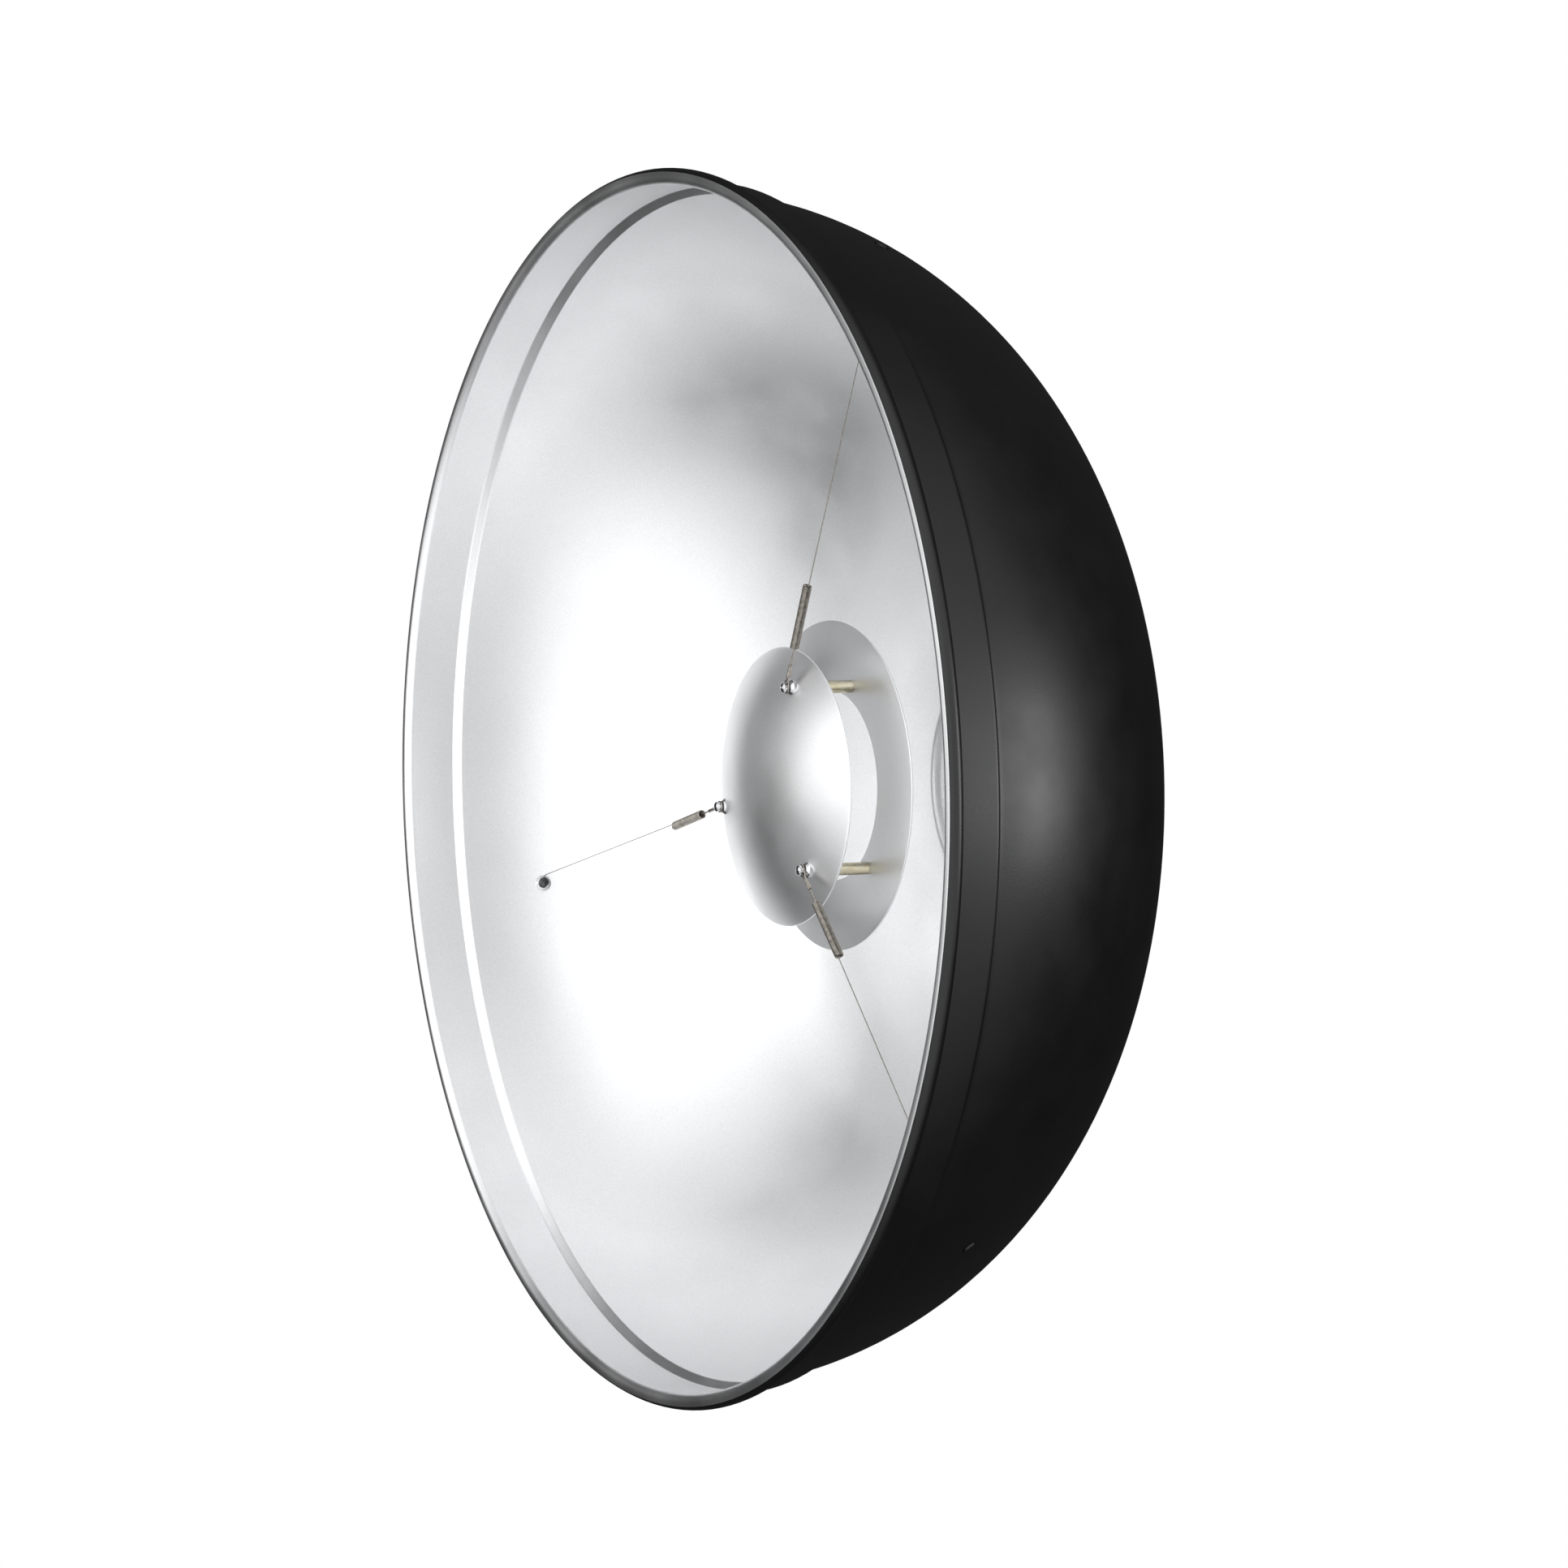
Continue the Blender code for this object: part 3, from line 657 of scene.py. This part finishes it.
def screw_mesh(head, reach):
    """A domed pan-head screw: its head's underside is at z = 0 and its shank reaches down."""
    head_r, thick = head
    profile = [(0, -reach), (NECK_R * 0.8, -reach), (NECK_R, -reach + 0.25 * MM), (NECK_R, 0)]
    side = (head_r, thick * HEAD_SIDE)
    profile += rounded([(NECK_R, 0), (head_r, 0, EDGE_FILLET), side], closed=False)[1:]
    steps = 9
    for k in range(1, steps + 1):
        a = pi / 2 * k / steps
        profile.append((head_r * cos(a), thick * (HEAD_SIDE + (1 - HEAD_SIDE) * sin(a))))
    profile[-1] = (0, thick)
    mesh = turned_mesh("screw", profile, SMALL, closed=False)
    return cut(mesh, [slot_cutter(head_r, thick, turn) for turn in (0, pi / 2)])


def slot_cutter(head_r, thick, turn):
    """One arm of a cross recess, narrower at its foot."""
    bm = bmesh.new()
    bmesh.ops.create_cube(bm, size=1)
    for v in bm.verts:
        top = v.co.z > 0
        v.co.x *= head_r * (1.15 if top else 0.7)
        v.co.y *= head_r * (0.24 if top else 0.16)
        v.co.z = thick * 1.2 if top else thick * 0.45
    bm.transform(Matrix.Rotation(turn + RECESS_TURN, 4, "Z"))
    return finish_mesh(bm, "slot")


def make_mount_screws():
    reach = 2 * SEAT_GAP + SHEET + FLANGE_THICK - MOUNT_SCREW_SHORT
    mesh = screw_mesh(MOUNT_HEAD, reach)
    for number, angle in enumerate(MOUNT_ANGLES, start=1):
        place = AXIS @ mount_place(angle) @ Matrix.Translation((0, 0, MOUNT_HEAD_LIFT))
        put(f"mount_bolt_{number}", mesh, place, "dish", "chrome", f"mount_screw_{number}")


# ---------------------------------------------------------------- anchors

def anchor_washer_mesh():
    return turned_mesh("washer", rounded([
        (HOLE_R, 0),
        (WASHER_R, 0, EDGE_FILLET),
        (WASHER_R, WASHER_EDGE, EDGE_FILLET),
        (WASHER_TOP_R, WASHER_THICK, EDGE_FILLET),
        (HOLE_R, WASHER_THICK, EDGE_FILLET),
    ]), SMALL)


def anchor_cap_mesh():
    """A domed nut, hollow for the end of its screw."""
    nut_r, nut_thick = NUT
    profile = [(0, nut_thick * 0.5), (HOLE_R, nut_thick * 0.5), (HOLE_R, 0)]
    profile += rounded([
        (HOLE_R, 0),
        (nut_r, 0, EDGE_FILLET),
        (nut_r, nut_thick * 0.35, EDGE_FILLET),
        (nut_r * 0.75, nut_thick, 3 * EDGE_FILLET),
        (0, nut_thick),
    ], closed=False)[1:]
    return turned_mesh("cap", profile, SMALL, closed=False)


def make_anchors():
    """Washers and screws on the bowl's inner wall, and their nuts outside."""
    washer = anchor_washer_mesh()
    cap = anchor_cap_mesh()
    head_lift = 2 * EYE_LIFT - WASHER_THICK - SEAT_GAP
    screw = screw_mesh(HEAD, head_lift)
    for number, angle in enumerate(STATIONS, start=1):
        seat = station_matrix(angle) @ anchor_matrix()
        behind = seat @ Matrix.Translation((0, 0, NUT_LIFT - SHEET)) @ Matrix.Rotation(pi, 4, "X")
        lifted = seat @ Matrix.Translation((0, 0, head_lift))
        put(f"anchor_flange_{number}", washer, seat, "dish", "chrome", f"anchor_washer_{number}")
        put(f"anchor_bolt_{number}", screw, lifted, "dish", "dark_steel", f"anchor_screw_{number}")
        put(f"anchor_cap_{number}", cap, behind, "dish", "satin_black", f"anchor_nut_{number}")


# ---------------------------------------------------------------- deflector

def dome_arc(radius, edge_r, steps):
    top = asin(edge_r / radius)
    angles = [top * k / steps for k in range(steps + 1)]
    return [(radius * sin(a), at(DOME_CENTER_DEPTH) - radius * cos(a)) for a in angles]


def circle_places():
    """The standoffs' axes round the deflector."""
    turns = [Matrix.Rotation(-radians(angle), 4, "Z") for angle in STATIONS]
    return [turn @ Matrix.Translation((STANDOFF_CIRCLE_R, 0, 0)) for turn in turns]


def hole_drills():
    middle = Matrix.Translation((0, 0, at(DOME_EDGE_DEPTH)))
    return [drill(place @ middle, HOLE_R) for place in circle_places()]


def make_plates():
    """The dome and the flat ring behind it, with softened edges."""
    front = dome_arc(DOME_SPHERE_R, DOME_R, 40)
    back = dome_arc(DOME_SPHERE_R - PLATE, DOME_R - PLATE * 0.4, 40)
    corners = [front[-2], (*front[-1], PLATE_FILLET), (*back[-1], PLATE_FILLET), back[-2]]
    edge = rounded(corners, closed=False)[1:-1]
    dome = turned_mesh("dome", front[:-1] + edge + back[-2::-1], closed=False)
    dome = cut(dome, hole_drills())
    put("dome_plate", dome, AXIS, "deflector", "plate_silver", "deflector_dome")
    near = at(RING_DEPTH)
    far = near + PLATE
    corners = [(RING_HOLE_R, near), (RING_R, near), (RING_R, far), (RING_HOLE_R, far)]
    profile = rounded([(*corner, PLATE_FILLET) for corner in corners])
    ring = cut(turned_mesh("ring", profile), hole_drills())
    put("ring_plate", ring, AXIS, "deflector", "plate_silver", "deflector_ring")


def make_standoffs():
    front = at(dome_depth_at(STANDOFF_CIRCLE_R)) - 2 * MM
    back = at(RING_DEPTH)
    profile = rounded([(HOLE_R, front), (STANDOFF_R, front), (STANDOFF_R, back, 0.25 * MM), (HOLE_R, back)])
    under = dome_arc(DOME_SPHERE_R - PLATE, DOME_R - PLATE, 40)
    top = under[0][1] - DOME_RISE
    block = under + [(DOME_R, under[-1][1]), (DOME_R, top), (0, top)]
    for number, place in enumerate(circle_places(), start=1):
        tube = turned_mesh("tube", profile, SMALL)
        tube.transform(place)
        tube = cut(tube, [turned_mesh("under", block, closed=False)])
        put(f"spacer_{number}", tube, AXIS, "deflector", "nickelled_brass", f"standoff_{number}")


def make_deflector_hardware():
    """Wedged washers and screws in front, and screws behind the ring."""
    eye = at(eye_depth())
    top = eye + EYE_LIFT - WASHER_THICK
    below = top + 6 * MM
    profile = rounded([
        (HOLE_R, top, EDGE_FILLET),
        (WASHER_TOP_R, top, EDGE_FILLET),
        (WASHER_R, top + WASHER_THICK, EDGE_FILLET),
        (WASHER_R, below),
        (HOLE_R, below),
    ])
    over = dome_arc(DOME_SPHERE_R, DOME_R, 40)
    bottom = over[-1][1] + DOME_RISE
    block = over + [(DOME_R, bottom), (0, bottom)]
    head_underside = eye - (EYE_LIFT - WASHER_THICK - SEAT_GAP)
    front_screw = screw_mesh(HEAD, DOME_SCREW_REACH)
    back_screw = screw_mesh(HEAD, RING_SCREW_REACH)
    forwards = Matrix.Translation((0, 0, head_underside)) @ Matrix.Rotation(pi, 4, "X")
    backwards = Matrix.Translation((0, 0, at(RING_DEPTH) + PLATE + RING_HEAD_LIFT))
    for number, place in enumerate(circle_places(), start=1):
        washer = turned_mesh("flange", profile, SMALL)
        washer.transform(place)
        washer = cut(washer, [turned_mesh("over", block, closed=False)])
        put(f"dome_flange_{number}", washer, AXIS, "deflector", "chrome", f"dome_washer_{number}")
        put(f"dome_bolt_{number}", front_screw, AXIS @ place @ forwards, "deflector", "chrome",
            f"dome_screw_{number}")
        put(f"ring_bolt_{number}", back_screw, AXIS @ place @ backwards, "deflector", "chrome",
            f"ring_screw_{number}")


# ---------------------------------------------------------------- suspension

def near_ends(points):
    """Adds points close to the corners of long stretches, so softening keeps them straight."""
    reach = 1 * MM
    result = [points[0]]
    for a, b in zip(points, points[1:]):
        length = (b - a).length
        if length > 3 * reach:
            result += [a.lerp(b, reach / length), a.lerp(b, 1 - reach / length)]
        result.append(b)
    return result


def anchor_wire_path():
    """From inside the spring to the anchor, down beside the washer and once round the screw's neck."""
    run = run_matrix()
    spring_end = SPRING_START + SPRING_LENGTH
    hold = SPRING_R - SPRING_WIRE - WIRE_R - WIRE_PLAY
    seat = anchor_matrix()
    lead = [(0.9, 3.4, 4.2), (0.9, 3.2, 3.2), (0.7, 2.8, 2.55), (0.3, 2.35, 2.3)]
    eye_r = NECK_R + WIRE_R + WIRE_PLAY
    points = [run @ Vector((x, hold, 0)) for x in (spring_end - 3 * MM, spring_end + 1 * MM)]
    points += [seat @ (Vector(point) * MM) for point in lead]
    for k in range(14):
        a = radians(110 - 27.5 * k)
        points.append(seat @ Vector((eye_r * cos(a), eye_r * sin(a), EYE_LIFT)))
    return softened(near_ends(points))


def link_path():
    """From the crimp round the screw's neck, back through the crimp and on into the spring."""
    run = run_matrix()
    mouth = CRIMP_SPAN[0]
    apart = 0.3 * MM
    touch = acos(LINK_EYE_R / mouth)
    points = [(mouth + 4 * MM, -apart), (mouth, -apart)]
    for k in range(25):
        a = -touch - (2 * pi - 2 * touch) * k / 24
        points.append((LINK_EYE_R * cos(a), LINK_EYE_R * sin(a)))
    points += [(mouth, apart), (mouth + 3 * MM, apart), (mouth + 6 * MM, 0)]
    points += [(SPRING_START - 1 * MM, 0), (SPRING_START + 1 * MM, 0)]
    return softened(near_ends([run @ Vector((x, y, 0)) for x, y in points]))


def coil_path():
    """A close-wound spring with both end turns drawn in to the middle."""
    run = run_matrix()
    middle = SPRING_R - SPRING_WIRE / 2
    turns = 50
    steps = 18
    pitch = (SPRING_LENGTH - SPRING_WIRE) / turns
    points = []
    for k in range(turns * steps + 1):
        a = 2 * pi * k / steps
        x = SPRING_START + SPRING_WIRE / 2 + pitch * k / steps
        left = min(k, turns * steps - k)
        r = middle * min(1.0, 0.1 + 0.9 * left / (0.35 * steps))
        points.append(run @ Vector((x, r * cos(a), r * sin(a))))
    return points


def crimp_mesh():
    """A short sleeve, pinched across its middle."""
    start, end = CRIMP_SPAN
    fine = 0.12 * MM
    profile = [(CRIMP_BORE_R, start), (CRIMP_R, start, fine)]
    profile += [(CRIMP_R, start + (end - start) * k / 12) for k in range(1, 12)]
    profile += [(CRIMP_R, end, fine), (CRIMP_BORE_R, end)]
    mesh = turned_mesh("crimp", rounded(profile), 24)
    for v in mesh.vertices:
        share = (v.co.z - start) / (end - start)
        pinch = 0.5 - 0.5 * cos(4 * pi * min(max(share, 0), 1))
        v.co.x *= 1 + 0.10 * pinch
        v.co.y *= 1 - 0.16 * pinch
    return mesh


def make_suspension():
    along = run_matrix() @ Matrix.Rotation(pi / 2, 4, "Y")
    wire = tube_mesh("wire", anchor_wire_path(), WIRE_SHOWN_R, 12)
    link = tube_mesh("link", link_path(), LINK_SHOWN_R, 14)
    coil = tube_mesh("coil", coil_path(), SPRING_WIRE / 2, 8)
    crimp = crimp_mesh()
    crimp.transform(along)
    for number, angle in enumerate(STATIONS, start=1):
        place = station_matrix(angle)
        body = f"suspension_{number}"
        put(f"stay_wire_{number}", wire, place, body, "spring_steel", f"wire_{number}")
        put(f"eye_link_{number}", link, place, body, "spring_steel", f"link_{number}")
        put(f"coil_spring_{number}", coil, place, body, "spring_steel", f"spring_{number}")
        put(f"sleeve_{number}", crimp, place, body, "spring_steel", f"crimp_{number}")


# ---------------------------------------------------------------- camera, light and floor

def direction(azimuth, elevation):
    """Unit vector from the object towards a place round it: azimuth 0 is in front, 90 is at +X."""
    a, e = radians(azimuth), radians(elevation)
    return Vector((sin(a) * cos(e), -cos(a) * cos(e), sin(e)))


def make_camera():
    data = bpy.data.cameras.new("camera")
    data.lens = CAMERA_LENS_MM
    data.sensor_width = 36
    data.clip_start = 0.05
    data.clip_end = 60
    camera = bpy.data.objects.new("camera", data)
    bpy.context.scene.collection.objects.link(camera)
    camera.location = CAMERA_PLACE
    camera.rotation_mode = "QUATERNION"
    camera.rotation_quaternion = (-direction(*CAMERA_SIDE)).to_track_quat("-Z", "Y")
    bpy.context.scene.camera = camera


def add_softbox(name, azimuth, elevation, distance, size, power):
    """A softbox aimed at the middle of the dish."""
    data = bpy.data.lights.new(name, "AREA")
    data.shape = "RECTANGLE"
    data.size, data.size_y = size
    data.energy = power
    light = bpy.data.objects.new(name, data)
    bpy.context.scene.collection.objects.link(light)
    toward = direction(azimuth, elevation)
    light.location = Vector(MIDDLE) + toward * distance
    light.rotation_mode = "QUATERNION"
    light.rotation_quaternion = toward.to_track_quat("Z", "Y")
    light.visible_camera = False


def add_lobe(tree, azimuth, elevation, full, none):
    """A soft patch of the sky round a direction: 1 within one angle of it, 0 beyond the other."""
    aim = add_node(tree, "ShaderNodeVectorMath", operation="DOT_PRODUCT")
    tree.links.new(add_node(tree, "ShaderNodeTexCoord").outputs["Generated"], aim.inputs[0])
    aim.inputs[1].default_value = direction(azimuth, elevation)
    closeness = aim.outputs["Value"]
    patch = add_node(tree, "ShaderNodeMapRange", interpolation_type="SMOOTHSTEP", Value=closeness)
    patch.inputs["From Min"].default_value = cos(radians(none))
    patch.inputs["From Max"].default_value = cos(radians(full))
    return patch.outputs["Result"]


def scaled_sum(tree, parts, base):
    """base + each value times its strength."""
    total = base
    for value, strength in parts:
        node = add_node(tree, "ShaderNodeMath", operation="MULTIPLY_ADD")
        tree.links.new(value, node.inputs[0])
        node.inputs[1].default_value = strength
        if isinstance(total, float):
            node.inputs[2].default_value = total
        else:
            tree.links.new(total, node.inputs[2])
        total = node.outputs[0]
    return total


def make_lights():
    """Three softboxes in a studio that is bright in front of the dish and dim behind it."""
    add_softbox("key_softbox", 38, 12, 3.2, (2.6, 2.6), 12)
    add_softbox("front_softbox", -22, 6, 0.95, (0.45, 0.45), 0.8)
    add_softbox("rim_softbox", 138, 3, 2.4, (0.9, 0.9), 18)
    world = bpy.data.worlds.new("studio")
    bpy.context.scene.world = world
    world.use_nodes = True
    tree = world.node_tree
    front = add_lobe(tree, 62, 10, 45, 105)
    above = add_lobe(tree, 0, 90, 20, 110)
    below = add_lobe(tree, 0, -90, 20, 100)
    room = tree.nodes["Background"]
    room.inputs["Color"].default_value = (0.985, 0.99, 1, 1)
    strength = scaled_sum(tree, [(front, 1.5), (above, 0.07), (below, 0.05)], 0.006)
    tree.links.new(strength, room.inputs["Strength"])
    white = add_node(tree, "ShaderNodeBackground", Color=(1, 1, 1, 1))
    rays = add_node(tree, "ShaderNodeLightPath")
    mix = add_node(tree, "ShaderNodeMixShader")
    tree.links.new(rays.outputs["Is Camera Ray"], mix.inputs[0])
    tree.links.new(room.outputs[0], mix.inputs[1])
    tree.links.new(white.outputs[0], mix.inputs[2])
    tree.links.new(mix.outputs[0], tree.nodes["World Output"].inputs["Surface"])
    bpy.context.scene.view_settings.view_transform = "Standard"


def make_floor():
    """A pale round floor well below the dish, fading out to the white round it."""
    profile = [(0, 0), (FLOOR_R, 0), (FLOOR_R, -FLOOR_THICK), (0, -FLOOR_THICK)]
    mesh = turned_mesh("floor", profile, closed=False)
    material, tree, shader = new_finish("floor_finish", (0.92, 0.92, 0.92), 0.0, Roughness=0.9)
    distance = add_node(tree, "ShaderNodeVectorMath", operation="LENGTH")
    tree.links.new(coordinates(tree), distance.inputs[0])
    fade = spread(tree, distance.outputs["Value"], 1.0, 0.0, *FLOOR_FADE)
    tree.links.new(fade, shader.inputs["Alpha"])
    mesh.materials.append(material)
    floor = bpy.data.objects.new("floor", mesh)
    bpy.context.scene.collection.objects.link(floor)
    floor.location = (0, MIDDLE[1], FLOOR_Z)
    floor.visible_glossy = False
    floor.visible_diffuse = False


make_camera()
make_dish()
make_mount()
make_mount_screws()
make_anchors()
make_plates()
make_standoffs()
make_deflector_hardware()
make_suspension()
make_lights()
make_floor()
